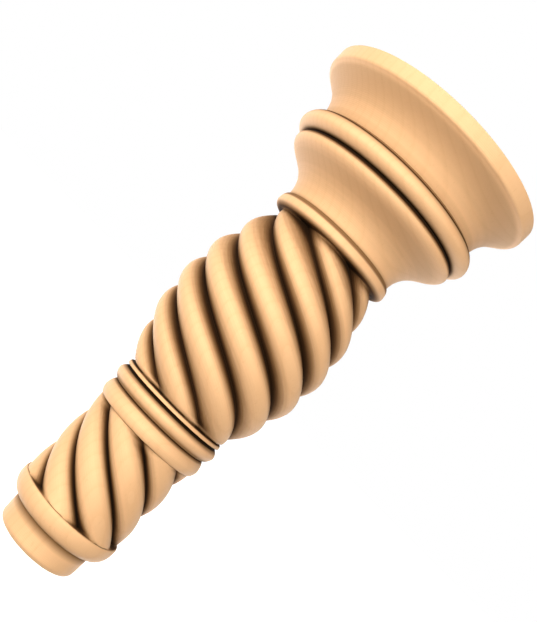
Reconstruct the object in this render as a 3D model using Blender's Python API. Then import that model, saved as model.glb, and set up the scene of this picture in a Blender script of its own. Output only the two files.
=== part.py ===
# Twisted column: one turned and carved piece of pale wood that stands on its narrow foot.
# A plain drum and a round base ring carry a straight twisted shaft, then a collar of three
# turned rings, a wide twisted bulb, a neck ring and a flaring capital with a flat top.
# All of it is one closed surface, worked out row by row around the axis.
import math

import bmesh
import bpy

MM = 0.001

# Foot drum: flat underside, soft lower corner, nearly straight side
FOOT_FLAT_R = 14.10
FOOT_CORNER_H = 3.03
FOOT_CORNER_R = 16.60
FOOT_CORNER_FULL = 2.37
FOOT_H = 10.33
FOOT_TOP_R = 16.85

# Base ring above the drum: up to its crest, then over to the lip that the strands leave
BASE_RISE = 6.48
BASE_CREST_R = 21.82
BASE_FALL = 1.73
BASE_LIP_R = 21.35
BASE_FULL = 2.16

# Strands of both twists: each rises to the left, seen from any side
STRANDS = 6
SEAM = 0.3
EDGE_STEP = 0.3

# Lower twist: straight shaft, its strands swell a little where they leave the base ring
LOWER_H = 35.84
LOWER_R = 21.15
LOWER_TURN_H = 92.39
LOWER_START_ANGLE = -2.2
LOWER_DEPTH = 0.176
LOWER_ROUND = 0.985
LOWER_SWELL = 0.65
LOWER_SWELL_H = 6.0

# Collar between the twists: thick ring, second ring, thin bead
THICK_RISE = 2.77
THICK_CREST_R = 22.55
THICK_FALL = 4.00
THICK_GROOVE_R = 20.68
SECOND_RISE = 3.33
SECOND_CREST_R = 23.29
SECOND_FALL = 2.88
SECOND_GROOVE_R = 20.51
COLLAR_FULL = 1.6
BEAD_RISE = 0.42
BEAD_CREST_R = 22.24
BEAD_FALL = 1.48
BEAD_TOP_R = 21.65

# Upper twist: bulb, its strands tucked in where they start behind the bead
UPPER_H = 75.39
UPPER_WIDE_UP = 39.2
UPPER_START_R = 22.31
UPPER_WIDE_R = 31.93
UPPER_END_R = 22.85
UPPER_START_POWER = 2.11
UPPER_END_POWER = 1.90
UPPER_TURN_H = 86.60
UPPER_START_ANGLE = 7.9
UPPER_DEPTH = 0.165
UPPER_ROUND = 0.673
UPPER_TUCK = 1.2
UPPER_TUCK_H = 1.3

# Neck ring under the capital
NECK_RISE = 2.02
NECK_CREST_R = 26.11
NECK_FALL = 3.54
NECK_TOP_R = 24.53

# Lower cove, its rolled lip and the groove above it
COVE_1_H = 17.29
COVE_1_START_H = 11.76
COVE_1_END_H = 4.50
COVE_1_TOP_R = 37.49
LIP_H = 2.41
LIP_GROOVE_R = 35.47

# Torus between the coves
TORUS_RISE = 3.51
TORUS_CREST_R = 40.67
TORUS_FALL = 4.70
TORUS_TOP_R = 36.05

# Upper cove and the upright rim under the flat top
COVE_2_H = 15.79
COVE_2_START_H = 10.11
COVE_2_START_SLOPE = 2.3
COVE_2_END_HANDLE = 4.43
COVE_2_END_SLOPE = 49.7
COVE_2_TOP_R = 45.82
RIM_ROUND_H = 1.64
RIM_R = 47.04
RIM_H = 4.45
RIM_TOP_R = 47.16

# Facets: places of the columns across a strand, and rows in each stretch
ACROSS = (-0.44, -0.32, -0.17, 0.0, 0.17, 0.32, 0.44, 0.5)
EVEN = tuple((i - 3) / len(ACROSS) for i in range(len(ACROSS)))
CORNER_ROWS = 4
BASE_ROWS = 5
LOWER_ROWS = 12
RING_ROWS = 3
BEAD_ROWS = 2
UPPER_ROWS = 25
COVE_1_ROWS = 7
LIP_ROWS = 2
COVE_2_ROWS = 6
BASE_TOP_SHARES = (0.6, 1.0)
HALVINGS = 40
SHARP_ANGLE = 35

# Finish
WOOD_COLOUR = (0.80, 0.56, 0.33, 1.0)
WOOD_ROUGHNESS = 0.5

# Heights that follow from the stacked pieces
BASE_CREST_Z = FOOT_H + BASE_RISE
BASE_LIP_Z = BASE_CREST_Z + BASE_FALL
COLLAR_Z = BASE_LIP_Z + LOWER_H
BEAD_TOP_Z = COLLAR_Z + THICK_RISE + THICK_FALL + SECOND_RISE + SECOND_FALL + BEAD_RISE + BEAD_FALL
NECK_Z = BEAD_TOP_Z + UPPER_H
LOWER_END_Z = COLLAR_Z - SEAM
UPPER_START_Z = BEAD_TOP_Z + SEAM
UPPER_END_Z = NECK_Z - SEAM


def crest_angle(z):
    """Angle of a strand's crest in degrees, from the front, at a height."""
    if z <= LOWER_END_Z:
        return LOWER_START_ANGLE - 360 * max(0.0, z - BASE_CREST_Z) / LOWER_TURN_H
    lower_end = crest_angle(LOWER_END_Z)
    step = 360 / STRANDS
    upper_start = UPPER_START_ANGLE + step * round((lower_end - UPPER_START_ANGLE) / step)
    if z >= UPPER_START_Z:
        return upper_start - 360 * (min(z, UPPER_END_Z) - UPPER_START_Z) / UPPER_TURN_H
    share = (z - LOWER_END_Z) / (UPPER_START_Z - LOWER_END_Z)
    return (1 - share) * lower_end + share * upper_start


def dip(u, fullness):
    """0 on a strand's crest, 1 in the groove beside it, along an arc of a circle."""
    return (1 - math.sqrt(1 - (2 * u * fullness) ** 2)) / (1 - math.sqrt(1 - fullness ** 2))


def lower_strand(u, z):
    """Radius of the lower twist at a place across a strand and a height."""
    left = min(1.0, max(0.0, 1 - (z - BASE_CREST_Z) / LOWER_SWELL_H))
    crest = LOWER_R + LOWER_SWELL * left ** 2
    return crest * (1 - LOWER_DEPTH * dip(u, LOWER_ROUND))


def upper_strand(u, z):
    """Radius of the upper twist at a place across a strand and a height."""
    up = z - BEAD_TOP_Z
    if up < UPPER_WIDE_UP:
        share = 1 - up / UPPER_WIDE_UP
        crest = UPPER_WIDE_R - (UPPER_WIDE_R - UPPER_START_R) * share ** UPPER_START_POWER
    else:
        share = (up - UPPER_WIDE_UP) / (UPPER_H - UPPER_WIDE_UP)
        crest = UPPER_WIDE_R - (UPPER_WIDE_R - UPPER_END_R) * share ** UPPER_END_POWER
    left = max(0.0, 1 - (z - UPPER_START_Z) / UPPER_TUCK_H)
    return (crest - UPPER_TUCK * left ** 2) * (1 - UPPER_DEPTH * dip(u, UPPER_ROUND))


def base_top(z):
    """Radius of the base ring between its crest and its lip."""
    share = (z - BASE_CREST_Z) / BASE_FALL
    return BASE_LIP_R + (BASE_CREST_R - BASE_LIP_R) * math.sqrt(max(0.0, 1 - share * share))


def leaving_height(u):
    """Height where a strand comes out of the base ring: its lip, or lower where it swells through."""
    if lower_strand(u, BASE_LIP_Z) <= BASE_LIP_R:
        return BASE_LIP_Z
    low, high = BASE_CREST_Z + SEAM, BASE_LIP_Z
    for _ in range(HALVINGS):
        z = (low + high) / 2
        if lower_strand(u, z) > base_top(z):
            high = z
        else:
            low = z
    return high


class Profile:
    """Heights and radii of a turned stretch, drawn upwards from a first point."""

    def __init__(self, z, r):
        self.points = [(z, r)]

    def line(self, rise, r):
        self.points.append((self.points[-1][0] + rise, r))

    def quarter(self, rise, r, count, outwards, fullness=2.0):
        """A rounded quarter that leaves across the axis if outwards, or else along it."""
        z0, r0 = self.points[-1]
        for i in range(1, count + 1):
            a = math.pi / 2 * i / count
            early = math.sin(a) ** (2 / fullness)
            late = 1 - max(0.0, math.cos(a)) ** (2 / fullness)
            along, across = (late, early) if outwards else (early, late)
            self.points.append((z0 + rise * along, r0 + (r - r0) * across))

    def ring(self, rise, crest_r, fall, top_r, count, fullness=2.0):
        self.quarter(rise, crest_r, count, True, fullness)
        self.quarter(fall, top_r, count, False, fullness)

    def curve(self, first, second, last, count):
        """A cubic curve through two handles, each given by its rise from here and its radius."""
        z0, r0 = self.points[-1]
        corners = ((0.0, r0), first, second, last)
        for i in range(1, count + 1):
            t = i / count
            weights = ((1 - t) ** 3, 3 * t * (1 - t) ** 2, 3 * t * t * (1 - t), t ** 3)
            z, r = (sum(w * c[n] for w, c in zip(weights, corners)) for n in (0, 1))
            self.points.append((z0 + z, r))


def turned(points, follow):
    """Rows of a turned stretch, their columns in line with the strands or evenly spaced."""
    places = ACROSS if follow else EVEN
    return [carved(lambda u: z, lambda u, z: r, places) for z, r in points]


def carved(height, radius, places=ACROSS):
    """One row whose height and radius depend on the place across a strand."""
    row = []
    for strand in range(STRANDS):
        for u in places:
            z = height(u)
            row.append((crest_angle(z) + 360 / STRANDS * (strand + u), z, radius(u, z)))
    return row


def foot_and_base():
    side = Profile(0.0, FOOT_FLAT_R)
    side.quarter(FOOT_CORNER_H, FOOT_CORNER_R, CORNER_ROWS, True, FOOT_CORNER_FULL)
    side.line(FOOT_H - FOOT_CORNER_H, FOOT_TOP_R)
    side.quarter(BASE_RISE, BASE_CREST_R, BASE_ROWS, True, BASE_FULL)
    rows = turned(side.points[:-1], False) + turned(side.points[-1:], True)
    for share in BASE_TOP_SHARES:
        rows.append(carved(
            lambda u: BASE_CREST_Z + share * (leaving_height(u) - BASE_CREST_Z),
            lambda u, z: base_top(z)))
    return rows


def lower_twist():
    rows = []
    for i in range(LOWER_ROWS + 1):
        share = i / LOWER_ROWS
        rows.append(carved(
            lambda u: (leaving_height(u) + SEAM) * (1 - share) + LOWER_END_Z * share,
            lower_strand))
    return rows


def collar():
    side = Profile(COLLAR_Z, LOWER_R + EDGE_STEP)
    side.quarter(THICK_RISE, THICK_CREST_R, RING_ROWS, True)
    side.quarter(THICK_FALL, THICK_GROOVE_R, RING_ROWS, False, COLLAR_FULL)
    side.ring(
        SECOND_RISE, SECOND_CREST_R, SECOND_FALL, SECOND_GROOVE_R, RING_ROWS, COLLAR_FULL)
    side.ring(BEAD_RISE, BEAD_CREST_R, BEAD_FALL, BEAD_TOP_R, BEAD_ROWS)
    return turned(side.points, True)


def upper_twist():
    rows = []
    for i in range(UPPER_ROWS + 1):
        z = UPPER_START_Z + (UPPER_END_Z - UPPER_START_Z) * i / UPPER_ROWS
        rows.append(carved(lambda u: z, upper_strand))
    return rows


def capital():
    side = Profile(NECK_Z, UPPER_END_R + EDGE_STEP)
    side.ring(NECK_RISE, NECK_CREST_R, NECK_FALL, NECK_TOP_R, RING_ROWS)
    crest = RING_ROWS + 1
    side.curve(
        (COVE_1_START_H, NECK_TOP_R), (COVE_1_H - COVE_1_END_H, COVE_1_TOP_R),
        (COVE_1_H, COVE_1_TOP_R), COVE_1_ROWS)
    side.quarter(LIP_H, LIP_GROOVE_R, LIP_ROWS, False)
    side.ring(TORUS_RISE, TORUS_CREST_R, TORUS_FALL, TORUS_TOP_R, RING_ROWS)
    start, end = math.radians(COVE_2_START_SLOPE), math.radians(COVE_2_END_SLOPE)
    side.curve(
        (COVE_2_START_H, TORUS_TOP_R + COVE_2_START_H * math.tan(start)),
        (COVE_2_H - COVE_2_END_HANDLE * math.cos(end),
         COVE_2_TOP_R - COVE_2_END_HANDLE * math.sin(end)),
        (COVE_2_H, COVE_2_TOP_R), COVE_2_ROWS)
    side.quarter(RIM_ROUND_H, RIM_R, LIP_ROWS, True)
    side.line(RIM_H, RIM_TOP_R)
    return turned(side.points[:crest], True) + turned(side.points[crest:], False)


def place(angle, z, r):
    """A point of the surface; angle 0 faces the front, -Y, and grows towards +X."""
    a = math.radians(angle)
    return (MM * r * math.sin(a), -MM * r * math.cos(a), MM * z)


def closed_surface(rows):
    """A bmesh of the rows, each quad split along its shorter diagonal, with flat ends."""
    surface = bmesh.new()
    rings = [[surface.verts.new(place(*corner)) for corner in row] for row in rows]
    for low, high in zip(rings, rings[1:]):
        for j in range(len(low)):
            k = (j + 1) % len(low)
            surface.faces.new((low[j], low[k], high[k], high[j]))
    bmesh.ops.triangulate(surface, faces=surface.faces[:], quad_method="SHORT_EDGE")
    surface.faces.new(rings[0][::-1])
    surface.faces.new(rings[-1])
    return surface


def pale_wood():
    material = bpy.data.materials.new("wood")
    material.use_nodes = True
    shader = material.node_tree.nodes["Principled BSDF"]
    shader.inputs["Base Color"].default_value = WOOD_COLOUR
    shader.inputs["Roughness"].default_value = WOOD_ROUGHNESS
    shader.inputs["Metallic"].default_value = 0.0
    return material


def main():
    for old in list(bpy.data.objects):
        bpy.data.objects.remove(old, do_unlink=True)
    rows = foot_and_base() + lower_twist() + collar() + upper_twist() + capital()
    surface = closed_surface(rows)
    mesh = bpy.data.meshes.new("twisted_column")
    surface.to_mesh(mesh)
    surface.free()
    mesh.shade_smooth()
    mesh.set_sharp_from_angle(angle=math.radians(SHARP_ANGLE))
    column = bpy.data.objects.new("twisted_column", mesh)
    bpy.context.scene.collection.objects.link(column)
    mesh.materials.append(pale_wood())


main()
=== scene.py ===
# Looks of the twisted column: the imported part, dressed with one fine carved surface of pale wood.
import math

import bpy
import numpy as np
from mathutils import Matrix, Vector
from mathutils.bvhtree import BVHTree


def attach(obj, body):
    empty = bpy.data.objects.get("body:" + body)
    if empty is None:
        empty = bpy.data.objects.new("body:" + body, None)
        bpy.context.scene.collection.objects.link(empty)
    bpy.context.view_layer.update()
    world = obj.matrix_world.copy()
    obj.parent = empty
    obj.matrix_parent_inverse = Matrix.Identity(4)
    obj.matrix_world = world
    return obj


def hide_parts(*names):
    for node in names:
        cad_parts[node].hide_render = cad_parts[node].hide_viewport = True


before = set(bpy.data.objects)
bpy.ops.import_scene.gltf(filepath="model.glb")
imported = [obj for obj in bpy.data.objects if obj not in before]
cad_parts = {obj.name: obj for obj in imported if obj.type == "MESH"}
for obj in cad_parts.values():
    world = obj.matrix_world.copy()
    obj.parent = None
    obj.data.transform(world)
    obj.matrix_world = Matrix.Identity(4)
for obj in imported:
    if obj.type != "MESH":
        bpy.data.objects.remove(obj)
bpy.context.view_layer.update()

MM = 0.001

# The part's sizes in mm and degrees, the same as in the part's source
FOOT_FLAT_R, FOOT_CORNER_H, FOOT_CORNER_R, FOOT_CORNER_FULL = 14.10, 3.03, 16.60, 2.37
FOOT_H, FOOT_TOP_R = 10.33, 16.85
BASE_RISE, BASE_CREST_R, BASE_FALL, BASE_LIP_R, BASE_FULL = 6.48, 21.82, 1.73, 21.35, 2.16
STRANDS, SEAM, EDGE_STEP = 6, 0.3, 0.3
LOWER_H, LOWER_R, LOWER_TURN_H, LOWER_START_ANGLE = 35.84, 21.15, 92.39, -2.2
LOWER_DEPTH, LOWER_ROUND, LOWER_SWELL, LOWER_SWELL_H = 0.176, 0.985, 0.65, 6.0
THICK_RISE, THICK_CREST_R, THICK_FALL, THICK_GROOVE_R = 2.77, 22.55, 4.00, 20.68
SECOND_RISE, SECOND_CREST_R, SECOND_FALL, SECOND_GROOVE_R = 3.33, 23.29, 2.88, 20.51
COLLAR_FULL = 1.6
BEAD_RISE, BEAD_CREST_R, BEAD_FALL, BEAD_TOP_R = 0.42, 22.24, 1.48, 21.65
UPPER_H, UPPER_WIDE_UP = 75.39, 39.2
UPPER_START_R, UPPER_WIDE_R, UPPER_END_R = 22.31, 31.93, 22.85
UPPER_START_POWER, UPPER_END_POWER = 2.11, 1.90
UPPER_TURN_H, UPPER_START_ANGLE = 86.60, 7.9
UPPER_DEPTH, UPPER_ROUND, UPPER_TUCK, UPPER_TUCK_H = 0.165, 0.673, 1.2, 1.3
NECK_RISE, NECK_CREST_R, NECK_FALL, NECK_TOP_R = 2.02, 26.11, 3.54, 24.53
COVE_1_H, COVE_1_START_H, COVE_1_END_H, COVE_1_TOP_R = 17.29, 11.76, 4.50, 37.49
LIP_H, LIP_GROOVE_R = 2.41, 35.47
TORUS_RISE, TORUS_CREST_R, TORUS_FALL, TORUS_TOP_R = 3.51, 40.67, 4.70, 36.05
COVE_2_H, COVE_2_START_H, COVE_2_START_SLOPE = 15.79, 10.11, 2.3
COVE_2_END_HANDLE, COVE_2_END_SLOPE, COVE_2_TOP_R = 4.43, 49.7, 45.82
RIM_ROUND_H, RIM_R, RIM_H, RIM_TOP_R = 1.64, 47.04, 4.45, 47.16

# Sizes in mm of small forms that only this surface has: a knife line above the base ring, a wider
# groove under the bead, a softer start of the rim and its rounded edge
CUT_UP, CUT_DEPTH = 0.12, 0.22
BEAD_GROOVE_H = 0.2
RIM_START_HANDLE, RIM_END_HANDLE = 0.6, 1.2
RIM_EDGE = 0.25

# Heights in mm that follow from the stacked pieces: where each begins, or what its name says
BASE_CREST_Z = FOOT_H + BASE_RISE
BASE_LIP_Z = BASE_CREST_Z + BASE_FALL
COLLAR_Z = BASE_LIP_Z + LOWER_H
SECOND_Z = COLLAR_Z + THICK_RISE + THICK_FALL
BEAD_Z = SECOND_Z + SECOND_RISE + SECOND_FALL
BEAD_TOP_Z = BEAD_Z + BEAD_RISE + BEAD_FALL
NECK_Z = BEAD_TOP_Z + UPPER_H
COVE_1_Z = NECK_Z + NECK_RISE + NECK_FALL
LIP_Z = COVE_1_Z + COVE_1_H
TORUS_Z = LIP_Z + LIP_H
COVE_2_Z = TORUS_Z + TORUS_RISE + TORUS_FALL
RIM_Z = COVE_2_Z + COVE_2_H
LOWER_END_Z = COLLAR_Z - SEAM
UPPER_START_Z = BEAD_TOP_Z + SEAM
UPPER_END_Z = NECK_Z - SEAM

# Fineness of the surface: places across a strand, rows of each stretch, shares of the way from the
# base ring's crest to its lip, the angle in degrees from which an edge is sharp, and search steps
PLACES = 44
PLACE_CROWDING = 0.15
COVE_CROWDING = 1.4
FOOT_ROWS, BASE_ROWS, LIP_SHARES = 10, 12, (0.35, 0.7, 0.9, 1.0)
LOWER_ROWS, COLLAR_ROWS, BEAD_ROWS, UPPER_ROWS = 54, 9, 4, 106
NECK_ROWS, COVE_ROWS, LIP_ROWS, TORUS_ROWS, RIM_ROWS = 10, 30, 6, 14, 8
SHARP_ANGLE = 35
HALVINGS = 30

# Tool lines: how many run along each strand, and their gap in mm on the turned stretches
STRAND_LINES = 17
TURNED_LINE_GAP = 0.62

# Painted shade: a dark colour laid into the carved grooves and creases where shade falls. It grows
# with the share of the rays over a point that meet the column again, and with the level given for
# that height. The rays start RAY_START mm over the surface.
PAINTED_SHADE_AMOUNT = 10.3
PAINTED_SHADE_STEEPNESS = 1.5
OCCLUSION_RAYS = 96
RAY_START = 0.02
GOLDEN_ANGLE = math.pi * (3 - math.sqrt(5))

# Level of painted shade at heights in mm, from the foot up: least on what stands out, most in the
# creases above the rings. Between two heights it changes evenly.
NO_SHADE, TRACE, FAINT, THIN, HALF, EVEN = 0.0, 0.1, 0.25, 0.4, 0.6, 1.0
DOUBLE, TRIPLE, FIVEFOLD = 2.0, 3.0, 5.0
PAINTED_SHADE_LEVELS = (
    (FOOT_H - 0.2, NO_SHADE), (FOOT_H, EVEN), (COLLAR_Z - 3.0, EVEN), (COLLAR_Z - 1.5, THIN),
    (SECOND_Z - 1.15, THIN), (SECOND_Z - 0.8, EVEN), (SECOND_Z - 0.4, HALF),
    (SECOND_Z + 0.5, HALF), (SECOND_Z + 0.9, DOUBLE), (SECOND_Z + 1.6, DOUBLE),
    (SECOND_Z + SECOND_RISE, TRACE), (SECOND_Z + SECOND_RISE + 0.7, TRACE),
    (BEAD_Z - 1.6, THIN), (BEAD_Z - 1.1, EVEN), (BEAD_Z - 0.6, EVEN), (BEAD_Z - 0.2, FIVEFOLD),
    (BEAD_Z + 0.3, FIVEFOLD), (BEAD_Z + 0.7, THIN), (BEAD_Z + 1.4, FAINT),
    (BEAD_TOP_Z + 0.1, EVEN), (BEAD_TOP_Z + 0.4, TRACE), (BEAD_TOP_Z + 1.0, TRACE),
    (BEAD_TOP_Z + 2.2, EVEN), (NECK_Z - 1.0, EVEN), (NECK_Z, HALF), (NECK_Z + 0.7, HALF),
    (COVE_1_Z - 2.7, FAINT), (COVE_1_Z - 1.8, FAINT), (COVE_1_Z - 1.4, DOUBLE),
    (COVE_1_Z - 1.0, DOUBLE), (COVE_1_Z - 0.6, EVEN), (COVE_1_Z - 0.2, HALF),
    (COVE_1_Z, THIN), (COVE_1_Z + 2.0, FAINT), (COVE_1_Z + 7.0, HALF),
    (LIP_Z - 4.0, HALF), (LIP_Z - 1.5, THIN), (LIP_Z, EVEN), (LIP_Z + 0.4, DOUBLE),
    (TORUS_Z - 1.0, DOUBLE), (TORUS_Z, HALF), (TORUS_Z + 0.4, TRACE), (TORUS_Z + TORUS_RISE, TRACE),
    (COVE_2_Z - 3.6, EVEN), (COVE_2_Z - 2.2, EVEN), (COVE_2_Z - 1.8, TRIPLE),
    (COVE_2_Z - 1.4, TRIPLE), (COVE_2_Z - 1.1, HALF), (COVE_2_Z - 0.4, HALF), (COVE_2_Z, FAINT),
    (COVE_2_Z + 6.5, THIN), (COVE_2_Z + 10.0, EVEN), (RIM_Z - 0.9, EVEN), (RIM_Z, NO_SHADE))


def crest_angle(z):
    """The first strand's crest in degrees, carried on through the collar to the nearest upper one."""
    lower_end = LOWER_START_ANGLE - 360 * (LOWER_END_Z - BASE_CREST_Z) / LOWER_TURN_H
    step = 360 / STRANDS
    upper_start = UPPER_START_ANGLE + step * round((lower_end - UPPER_START_ANGLE) / step)
    upper_end = upper_start - 360 * (UPPER_END_Z - UPPER_START_Z) / UPPER_TURN_H
    return np.interp(
        z, (BASE_CREST_Z, LOWER_END_Z, UPPER_START_Z, UPPER_END_Z),
        (LOWER_START_ANGLE, lower_end, upper_start, upper_end))


def dip(u, fullness):
    """0 on a strand's crest, 1 in the groove beside it, along an arc of a circle."""
    return (1 - np.sqrt(1 - (2 * u * fullness) ** 2)) / (1 - math.sqrt(1 - fullness ** 2))


def lower_strand(u, z):
    left = np.clip(1 - (z - BASE_CREST_Z) / LOWER_SWELL_H, 0, 1)
    return (LOWER_R + LOWER_SWELL * left ** 2) * (1 - LOWER_DEPTH * dip(u, LOWER_ROUND))


def upper_strand(u, z):
    up = z - BEAD_TOP_Z
    before = np.clip(1 - up / UPPER_WIDE_UP, 0, 1)
    after = np.clip((up - UPPER_WIDE_UP) / (UPPER_H - UPPER_WIDE_UP), 0, 1)
    crest = (UPPER_WIDE_R - (UPPER_WIDE_R - UPPER_START_R) * before ** UPPER_START_POWER
             - (UPPER_WIDE_R - UPPER_END_R) * after ** UPPER_END_POWER)
    left = np.clip(1 - (z - UPPER_START_Z) / UPPER_TUCK_H, 0, 1)
    return (crest - UPPER_TUCK * left ** 2) * (1 - UPPER_DEPTH * dip(u, UPPER_ROUND))


def base_top(z):
    share = (z - BASE_CREST_Z) / BASE_FALL
    return BASE_LIP_R + (BASE_CREST_R - BASE_LIP_R) * np.sqrt(np.clip(1 - share ** 2, 0, 1))


def leaving_heights(u):
    """Where the strand comes out of the base ring: at its lip, or lower where it swells through."""
    low = np.full(len(u), BASE_CREST_Z + SEAM)
    high = np.full(len(u), BASE_LIP_Z)
    for _ in range(HALVINGS):
        middle = (low + high) / 2
        out = lower_strand(u, middle) > base_top(middle)
        low, high = np.where(out, low, middle), np.where(out, middle, high)
    return np.where(lower_strand(u, BASE_LIP_Z) <= BASE_LIP_R, BASE_LIP_Z, high)


class Profile:
    """Heights and radii of a turned stretch, drawn upwards from a first point."""

    def __init__(self, z, r):
        self.points = [(z, r)]

    def line(self, rise, r):
        self.points.append((self.points[-1][0] + rise, r))

    def quarter(self, rise, r, count, outwards, fullness=2.0):
        """A quarter of an oval: outwards it ends upright, inwards it starts upright."""
        z0, r0 = self.points[-1]
        for i in range(1, count + 1):
            a = math.pi / 2 * i / count
            early = math.sin(a) ** (2 / fullness)
            late = 1 - max(0.0, math.cos(a)) ** (2 / fullness)
            along, across = (late, early) if outwards else (early, late)
            self.points.append((z0 + rise * along, r0 + (r - r0) * across))

    def ring(self, rise, crest_r, fall, top_r, count, fullness=2.0):
        self.quarter(rise, crest_r, count, True, fullness)
        self.quarter(fall, top_r, count, False, fullness)

    def curve(self, first, second, last, count, crowding=1.0):
        """A Bezier curve: two handles and the end, each as its rise from the start and radius."""
        z0, r0 = self.points[-1]
        corners = ((0.0, r0), first, second, last)
        for i in range(1, count + 1):
            t = (i / count) ** crowding
            weights = ((1 - t) ** 3, 3 * t * (1 - t) ** 2, 3 * t * t * (1 - t), t ** 3)
            z, r = (sum(w * c[n] for w, c in zip(weights, corners)) for n in (0, 1))
            self.points.append((z0 + z, r))


def strand_places():
    """Places across one strand, from one groove to the next, closer together near the grooves."""
    x = 2 * (np.arange(PLACES) + 1) / PLACES - 1
    return 0.5 * x * (1 + PLACE_CROWDING - PLACE_CROWDING * x ** 2)


def turned(profile):
    """Rows of a turned stretch: heights, radii and tool line coordinates."""
    rows, length = [], 0.0
    last = profile.points[0]
    for z, r in profile.points:
        length += math.hypot(z - last[0], r - last[1])
        last = (z, r)
        rows.append(tuple(np.full(PLACES, value) for value in (z, r, length / TURNED_LINE_GAP)))
    return rows


def twisted(low, high, count, strand, u):
    """Rows of a twist between two heights or rows of heights."""
    rows = []
    for i in range(count + 1):
        z = np.broadcast_to(low + (high - low) * i / count, PLACES)
        rows.append((z, strand(u, z), np.abs(u) * STRAND_LINES))
    return rows


def foot_and_base(u):
    wall_h = FOOT_H - FOOT_CORNER_H
    side = Profile(0.0, FOOT_FLAT_R)
    side.quarter(FOOT_CORNER_H, FOOT_CORNER_R, FOOT_ROWS, True, FOOT_CORNER_FULL)
    side.line(wall_h / 2, (FOOT_CORNER_R + FOOT_TOP_R) / 2)
    side.line(wall_h / 2, FOOT_TOP_R)
    side.quarter(BASE_RISE, BASE_CREST_R, BASE_ROWS, True, BASE_FULL)
    rows = turned(side)
    lines = rows[-1][2]
    for share in LIP_SHARES:
        z = BASE_CREST_Z + share * (leaving_heights(u) - BASE_CREST_Z)
        rows.append((z, base_top(z), lines + (z - BASE_CREST_Z) / TURNED_LINE_GAP))
    z, r, lines = rows[-1]
    rows.append((z + CUT_UP, r - CUT_DEPTH, lines))
    return rows


def collar():
    side = Profile(COLLAR_Z, LOWER_R + EDGE_STEP)
    side.ring(THICK_RISE, THICK_CREST_R, THICK_FALL, THICK_GROOVE_R, COLLAR_ROWS, COLLAR_FULL)
    side.ring(SECOND_RISE, SECOND_CREST_R, SECOND_FALL, SECOND_GROOVE_R, COLLAR_ROWS, COLLAR_FULL)
    side.line(BEAD_GROOVE_H, SECOND_GROOVE_R)
    side.ring(BEAD_RISE, BEAD_CREST_R, BEAD_FALL - BEAD_GROOVE_H, BEAD_TOP_R, BEAD_ROWS)
    return turned(side)


def capital():
    side = Profile(NECK_Z, UPPER_END_R + EDGE_STEP)
    side.ring(NECK_RISE, NECK_CREST_R, NECK_FALL, NECK_TOP_R, NECK_ROWS)
    side.curve(
        (COVE_1_START_H, NECK_TOP_R), (COVE_1_H - COVE_1_END_H, COVE_1_TOP_R),
        (COVE_1_H, COVE_1_TOP_R), COVE_ROWS, COVE_CROWDING)
    side.quarter(LIP_H, LIP_GROOVE_R, LIP_ROWS, False)
    side.ring(TORUS_RISE, TORUS_CREST_R, TORUS_FALL, TORUS_TOP_R, TORUS_ROWS)
    start, end = math.radians(COVE_2_START_SLOPE), math.radians(COVE_2_END_SLOPE)
    side.curve(
        (COVE_2_START_H, TORUS_TOP_R + COVE_2_START_H * math.tan(start)),
        (COVE_2_H - COVE_2_END_HANDLE * math.cos(end),
         COVE_2_TOP_R - COVE_2_END_HANDLE * math.sin(end)),
        (COVE_2_H, COVE_2_TOP_R), COVE_ROWS, COVE_CROWDING)
    side.curve(
        (RIM_START_HANDLE * math.cos(end), COVE_2_TOP_R + RIM_START_HANDLE * math.sin(end)),
        (RIM_ROUND_H - RIM_END_HANDLE, RIM_R), (RIM_ROUND_H, RIM_R), RIM_ROWS)
    side.line(RIM_H - RIM_EDGE, RIM_TOP_R)
    side.quarter(RIM_EDGE, RIM_TOP_R - RIM_EDGE, LIP_ROWS, False)
    return turned(side)


def surface_rows(u):
    rows = foot_and_base(u)
    rows += twisted(leaving_heights(u) + SEAM, LOWER_END_Z, LOWER_ROWS, lower_strand, u)
    rows += collar()
    rows += twisted(UPPER_START_Z, UPPER_END_Z, UPPER_ROWS, upper_strand, u)
    rows += capital()
    return rows


def hidden_shares(points, faces):
    """Share of the rays over each point of the first strand that meet the column."""
    tree = BVHTree.FromPolygons([Vector(p) for p in points.reshape(-1, 3)], faces)
    along = np.gradient(points, axis=0)
    across = np.roll(points, -1, axis=1) - np.roll(points, 1, axis=1)
    normals = np.cross(across, along)
    normals /= np.linalg.norm(normals, axis=2)[:, :, None]
    across /= np.linalg.norm(across, axis=2)[:, :, None]
    third = np.cross(normals, across)
    k = np.arange(OCCLUSION_RAYS) + 0.5
    side, turn = np.sqrt(k / OCCLUSION_RAYS), k * GOLDEN_ANGLE
    spread = np.stack([side * np.cos(turn), side * np.sin(turn), np.sqrt(1 - side ** 2)], axis=1)
    shares = np.zeros((len(points), PLACES))
    for i in range(len(points)):
        for j in range(PLACES):
            start = Vector(points[i, j] + normals[i, j] * RAY_START * MM)
            rays = spread @ np.stack([across[i, j], third[i, j], normals[i, j]])
            met = sum(1 for ray in rays.tolist() if tree.ray_cast(start, ray)[0])
            shares[i, j] = met / OCCLUSION_RAYS
    return np.tile(shares, (1, STRANDS))


def painted_shade_factors(points, faces, z):
    """1 where no shade is painted, less where painted shade darkens the wood in the hollows."""
    heights, levels = zip(*PAINTED_SHADE_LEVELS)
    left = np.interp(z, heights, levels)
    # Painted shade: the more of the rays over a point meet the column, the darker the wood there
    return np.exp(-PAINTED_SHADE_AMOUNT * left * hidden_shares(points, faces) ** PAINTED_SHADE_STEEPNESS)


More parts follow.
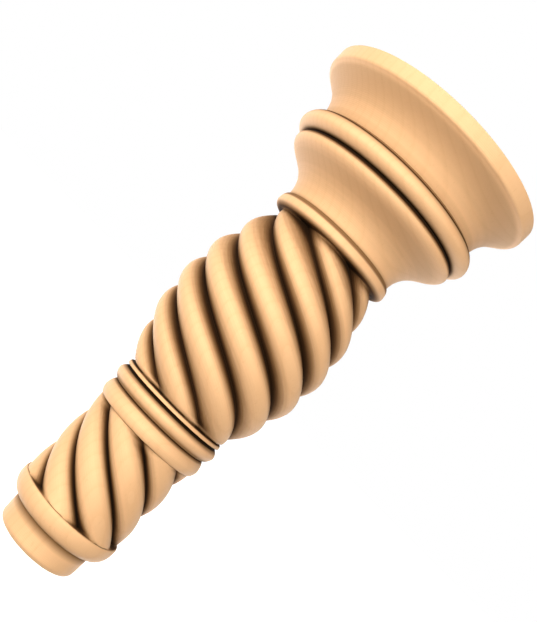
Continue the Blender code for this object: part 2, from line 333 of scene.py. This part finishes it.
def column_mesh():
    """One closed surface: rows of points around the column, and a flat face at each end."""
    u = strand_places()
    z, r, lines = (np.array(values) for values in zip(*surface_rows(u)))
    a = np.radians(np.concatenate(
        [crest_angle(z) + 360 / STRANDS * (strand + u) for strand in range(STRANDS)], axis=1))
    z, r, lines = (np.tile(values, (1, STRANDS)) for values in (z, r, lines))
    points = np.stack([r * np.sin(a), -r * np.cos(a), z], axis=2) * MM
    index = np.arange(z.size).reshape(z.shape)
    low, high = index[:-1], index[1:]
    corners = (low, np.roll(low, -1, axis=1), np.roll(high, -1, axis=1), high)
    quads = np.stack(corners, axis=2).reshape(-1, 4)
    faces = quads.tolist() + [index[0][::-1].tolist(), index[-1].tolist()]
    mesh = bpy.data.meshes.new("carved_column")
    mesh.from_pydata(points.reshape(-1, 3).tolist(), [], faces)
    for name, values in (("tool_line", lines), ("painted_shade_factor", painted_shade_factors(points, faces, z))):
        attribute = mesh.attributes.new(name, "FLOAT", "POINT")
        attribute.data.foreach_set("value", values.ravel().astype(np.float32))
    mesh.shade_smooth()
    mesh.set_sharp_from_angle(angle=math.radians(SHARP_ANGLE))
    mesh.update()
    return mesh


# Inputs of a mix node, its factor first, and its output: for colours and for numbers
COLOUR_INPUTS, COLOUR_OUTPUT = (0, 6, 7), 2
NUMBER_INPUTS, NUMBER_OUTPUT = (0, 2, 3), 0


class Nodes:
    """Short helpers for building a node tree."""

    def __init__(self, tree):
        self.tree = tree

    def add(self, kind, **values):
        node = self.tree.nodes.new(kind)
        for name, value in values.items():
            setattr(node, name, value)
        return node

    def link(self, out, into):
        self.tree.links.new(out, into)

    def fill(self, sockets, values):
        """Put a number or a colour on each socket, or link an output to it."""
        for socket, value in zip(sockets, values):
            if isinstance(value, (int, float)):
                socket.default_value = value
            elif isinstance(value, tuple):
                socket.default_value = (*value, 1.0)
            else:
                self.link(value, socket)

    def math(self, operation, *values):
        node = self.add("ShaderNodeMath", operation=operation)
        self.fill(node.inputs, values)
        return node.outputs[0]

    def noise(self, place, swings, detail=2.0, roughness=0.5):
        """Noise with its number of swings to a metre along each axis."""
        mapping = self.add("ShaderNodeMapping")
        mapping.inputs["Scale"].default_value = swings
        self.link(place, mapping.inputs["Vector"])
        node = self.add("ShaderNodeTexNoise")
        node.inputs["Scale"].default_value = 1.0
        node.inputs["Detail"].default_value = detail
        node.inputs["Roughness"].default_value = roughness
        self.link(mapping.outputs["Vector"], node.inputs["Vector"])
        return node.outputs["Fac"]

    def ramp(self, factor, stops):
        """A colour that follows the factor through stops, each a position and a colour or level."""
        node = self.add("ShaderNodeValToRGB")
        elements = node.color_ramp.elements
        while len(elements) < len(stops):
            elements.new(0.5)
        for element, (position, tone) in zip(elements, stops):
            element.position = position
            element.color = (*tone, 1.0) if isinstance(tone, tuple) else (tone, tone, tone, 1.0)
        self.link(factor, node.inputs["Fac"])
        return node.outputs["Color"]

    def mix(self, blend, factor, first, second):
        node = self.add("ShaderNodeMix", data_type="RGBA", blend_type=blend)
        self.fill([node.inputs[i] for i in COLOUR_INPUTS], (factor, first, second))
        return node.outputs[COLOUR_OUTPUT]

    def mix_numbers(self, factor, first, second):
        node = self.add("ShaderNodeMix", data_type="FLOAT")
        self.fill([node.inputs[i] for i in NUMBER_INPUTS], (factor, first, second))
        return node.outputs[NUMBER_OUTPUT]

    def split(self, vector):
        node = self.add("ShaderNodeSeparateXYZ")
        self.link(vector, node.inputs[0])
        return node.outputs

    def sloped(self, direction, level, slope):
        """A level that grows evenly with the direction along a slope."""
        node = self.add("ShaderNodeVectorMath", operation="DOT_PRODUCT")
        node.inputs[1].default_value = slope
        self.link(direction, node.inputs[0])
        return self.math("ADD", node.outputs["Value"], level)

    def attribute(self, name):
        return self.add("ShaderNodeAttribute", attribute_name=name).outputs["Fac"]


# Pale wood, and what the painted shade multiplies it by: from the darkest painted shade to none
WOOD_LIGHT = (0.92, 0.545, 0.275)
WOOD_DARK = (0.87, 0.505, 0.250)
PAINTED_SHADE_TONES = (
    (0.0, (0.016, 0.009, 0.005)), (0.03, (0.046, 0.030, 0.018)), (0.1, (0.130, 0.100, 0.072)),
    (0.3, (0.340, 0.300, 0.255)), (1.0, (1.0, 1.0, 1.0)))

# Growth rings: the pith beside the column, their gap and how far they waver, in metres, and how
# dark a ring is from its start to its end
PITH_X, PITH_Y = -0.055, 0.070
RING_GAP, RING_WAVER = 0.0030, 0.010
NOISE_MIDDLE = 0.5
RING_LEVELS = ((0.0, 0.30), (0.16, 0.0), (0.70, 0.12), (0.95, 1.0))

# Noises of the wood: swings to a metre, twice across the grain and once along it
WAVER_SWINGS = (14.0, 14.0, 5.0)
CLOUD_SWINGS = (22.0, 22.0, 9.0)
SHAKE_SWINGS = (120.0, 120.0, 120.0)
FIBRE_SWINGS, FIBRE_DETAIL, FIBRE_HARSHNESS = (1500.0, 1500.0, 45.0), 3.0, 0.6
FLECK_SWINGS, FLECK_DETAIL = (1700.0, 1700.0, 330.0), 1.0
FLECK_LEVELS = ((0.66, 0.0), (0.74, 1.0))

# How strongly the rings, fibres and flecks tint the wood
RING_SHARE, RING_TINT = 0.14, (0.80, 0.68, 0.55)
FIBRE_SHARE, FIBRE_TINT = 0.13, (0.72, 0.62, 0.50)
FLECK_SHARE, FLECK_TINT = 0.12, (0.62, 0.48, 0.36)

# Satin surface: relief of the tool lines and fibres, its height in mm, roughness and polish
LINE_RELIEF, FIBRE_RELIEF = 0.5, 0.8
BUMP_STRENGTH, BUMP_HEIGHT = 0.35, 0.04
HOLLOW_ROUGHNESS, OPEN_ROUGHNESS, FIBRE_ROUGHNESS = 0.90, 0.45, 0.14
POLISH = 0.20
POLISH_TINT = (1.0, 0.78, 0.45, 1.0)


def growth_rings(n, place):
    """Rings around a pith beside the column, seen as faint long lines."""
    x, y, _ = n.split(place)
    across, deep = n.math("SUBTRACT", x, PITH_X), n.math("SUBTRACT", y, PITH_Y)
    squares = n.math("ADD", n.math("MULTIPLY", across, across), n.math("MULTIPLY", deep, deep))
    waver = n.math("SUBTRACT", n.noise(place, WAVER_SWINGS), NOISE_MIDDLE)
    far = n.math("ADD", n.math("SQRT", squares), n.math("MULTIPLY", waver, RING_WAVER))
    return n.ramp(n.math("FRACT", n.math("MULTIPLY", far, 1 / RING_GAP)), RING_LEVELS)


def pale_wood():
    material = bpy.data.materials.new("pale_wood")
    material.use_nodes = True
    n = Nodes(material.node_tree)
    shader = material.node_tree.nodes["Principled BSDF"]
    place = n.add("ShaderNodeTexCoord").outputs["Object"]

    # Wood with growth rings, fibres and short dark flecks along the grain, and painted shade over it
    # in the hollows
    fibre = n.noise(place, FIBRE_SWINGS, FIBRE_DETAIL, FIBRE_HARSHNESS)
    fleck = n.ramp(n.noise(place, FLECK_SWINGS, FLECK_DETAIL), FLECK_LEVELS)
    wood = n.mix("MIX", n.noise(place, CLOUD_SWINGS), WOOD_LIGHT, WOOD_DARK)
    for mark, share, tint in (
            (growth_rings(n, place), RING_SHARE, RING_TINT),
            (fibre, FIBRE_SHARE, FIBRE_TINT),
            (fleck, FLECK_SHARE, FLECK_TINT)):
        wood = n.mix("MULTIPLY", n.math("MULTIPLY", mark, share), wood, tint)
    painted_shade_factor = n.attribute("painted_shade_factor")
    # Painted shade: the wood colour is multiplied down in the grooves and creases
    n.link(n.mix("MULTIPLY", 1.0, wood, n.ramp(painted_shade_factor, PAINTED_SHADE_TONES)), shader.inputs["Base Color"])

    # Fine tool lines and the fibres stand up a little
    line = n.math("ADD", n.attribute("tool_line"), n.noise(place, SHAKE_SWINGS))
    wave = n.math("SINE", n.math("MULTIPLY", line, 2 * math.pi))
    bump = n.add("ShaderNodeBump")
    bump.inputs["Strength"].default_value = BUMP_STRENGTH
    bump.inputs["Distance"].default_value = BUMP_HEIGHT * MM
    height = n.math(
        "ADD", n.math("MULTIPLY", wave, LINE_RELIEF), n.math("MULTIPLY", fibre, FIBRE_RELIEF))
    n.link(height, bump.inputs["Height"])
    n.link(bump.outputs["Normal"], shader.inputs["Normal"])
    # Rougher in the hollows, where the shade is painted
    rough = n.math("MULTIPLY", painted_shade_factor, OPEN_ROUGHNESS - HOLLOW_ROUGHNESS)
    rough = n.math("ADD", rough, HOLLOW_ROUGHNESS)
    rough = n.math("ADD", n.math("MULTIPLY", fibre, FIBRE_ROUGHNESS), rough)
    n.link(rough, shader.inputs["Roughness"])
    shader.inputs["Specular IOR Level"].default_value = POLISH
    shader.inputs["Specular Tint"].default_value = POLISH_TINT
    return material


def dress_column():
    mesh = column_mesh()
    mesh.materials.append(pale_wood())
    column = bpy.data.objects.new("carved_column", mesh)
    bpy.context.scene.collection.objects.link(column)
    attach(column, "root")
    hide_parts("twisted_column")


WHITE = (1.0, 1.0, 1.0, 1.0)
FLOOR_SIZE = 40.0
FLOOR_COLOUR = (0.80, 0.80, 0.80, 1.0)
FLOOR_ROUGHNESS = 0.9
FLOOR_GLOW = 1.0


def floor():
    """A floor that glows white and neither lights, shades nor mirrors in the column."""
    half = FLOOR_SIZE / 2
    mesh = bpy.data.meshes.new("floor")
    corners = [(-half, -half, 0), (half, -half, 0), (half, half, 0), (-half, half, 0)]
    mesh.from_pydata(corners, [], [(0, 1, 2, 3)])
    paint = bpy.data.materials.new("floor_paint")
    paint.use_nodes = True
    shader = paint.node_tree.nodes["Principled BSDF"]
    shader.inputs["Base Color"].default_value = FLOOR_COLOUR
    shader.inputs["Roughness"].default_value = FLOOR_ROUGHNESS
    shader.inputs["Specular IOR Level"].default_value = 0.0
    shader.inputs["Emission Color"].default_value = WHITE
    shader.inputs["Emission Strength"].default_value = FLOOR_GLOW
    mesh.materials.append(paint)
    plane = bpy.data.objects.new("floor", mesh)
    plane.visible_diffuse = False
    plane.visible_glossy = False
    plane.visible_shadow = False
    bpy.context.scene.collection.objects.link(plane)


# Strength of the white that the camera sees, and of the wall behind the column: its start and end
# along +Y, its glow straight behind and how that changes to the sides and upwards
BACKDROP = 1.0
GLOW_FROM_Y, GLOW_TO_Y = 0.2, 0.7
BACK_GLOW = 2.4
BACK_SLOPE = (-0.9, 0.0, -2.8)


def studio():
    """A white backdrop that the camera sees, and a bright wall that lights the column's edges."""
    world = bpy.data.worlds.new("studio")
    bpy.context.scene.world = world
    world.use_nodes = True
    n = Nodes(world.node_tree)
    direction = n.add("ShaderNodeTexCoord").outputs["Generated"]
    wall = n.add("ShaderNodeMapRange", interpolation_type="SMOOTHSTEP")
    n.link(n.split(direction)["Y"], wall.inputs["Value"])
    wall.inputs["From Min"].default_value = GLOW_FROM_Y
    wall.inputs["From Max"].default_value = GLOW_TO_Y
    glow = n.math("MULTIPLY", wall.outputs["Result"], n.sloped(direction, BACK_GLOW, BACK_SLOPE))
    seen = n.add("ShaderNodeLightPath").outputs["Is Camera Ray"]
    backdrop = world.node_tree.nodes["Background"]
    backdrop.inputs["Color"].default_value = WHITE
    n.link(n.mix_numbers(seen, glow, BACKDROP), backdrop.inputs["Strength"])


# Soft round lamps: how wide and where they are, in metres, and their power in watts
LAMP_SIZE = 0.5
LAMP_AIM = (0.0, 0.0, 0.11)
LAMPS = (
    ("front", (0.0, -0.897, 0.188), 9.2),
    ("left", (-0.776, -0.448, 0.188), 2.8),
    ("high_left", (-0.551, -0.318, 0.746), 3.7),
    ("right", (0.564, -0.474, 0.627), 1.5),
)


def lamps():
    for name, place, power in LAMPS:
        data = bpy.data.lights.new(name, "AREA")
        data.shape = "DISK"
        data.size = LAMP_SIZE
        data.energy = power
        lamp = bpy.data.objects.new(name, data)
        lamp.location = place
        aim = Vector(LAMP_AIM) - Vector(place)
        lamp.rotation_euler = aim.to_track_quat("-Z", "Y").to_euler()
        bpy.context.scene.collection.objects.link(lamp)


# The photograph's view: aim and distance in metres, angles in degrees, lens and sensor in mm
CAMERA_AIM = (0.00014, 0.0, 0.1154)
CAMERA_DISTANCE = 0.30947
CAMERA_PITCH = 3.824
CAMERA_ROLL = 45
CAMERA_LENS = 50
CAMERA_SENSOR = 36
CAMERA_CLIP = 0.01


def camera():
    pitch = math.radians(CAMERA_PITCH)
    aim = Vector(CAMERA_AIM)
    place = aim - CAMERA_DISTANCE * Vector((0, math.cos(pitch), math.sin(pitch)))
    data = bpy.data.cameras.new("camera")
    data.lens = CAMERA_LENS
    data.sensor_width = CAMERA_SENSOR
    data.sensor_fit = "AUTO"
    data.clip_start = CAMERA_CLIP
    eye = bpy.data.objects.new("camera", data)
    turn = (aim - place).to_track_quat("-Z", "Y").to_matrix().to_4x4()
    roll = Matrix.Rotation(math.radians(CAMERA_ROLL), 4, "Z")
    eye.matrix_world = Matrix.Translation(place) @ turn @ roll
    bpy.context.scene.collection.objects.link(eye)
    bpy.context.scene.camera = eye


def main():
    camera()
    dress_column()
    floor()
    studio()
    lamps()
    bpy.context.scene.view_settings.view_transform = "Standard"


main()
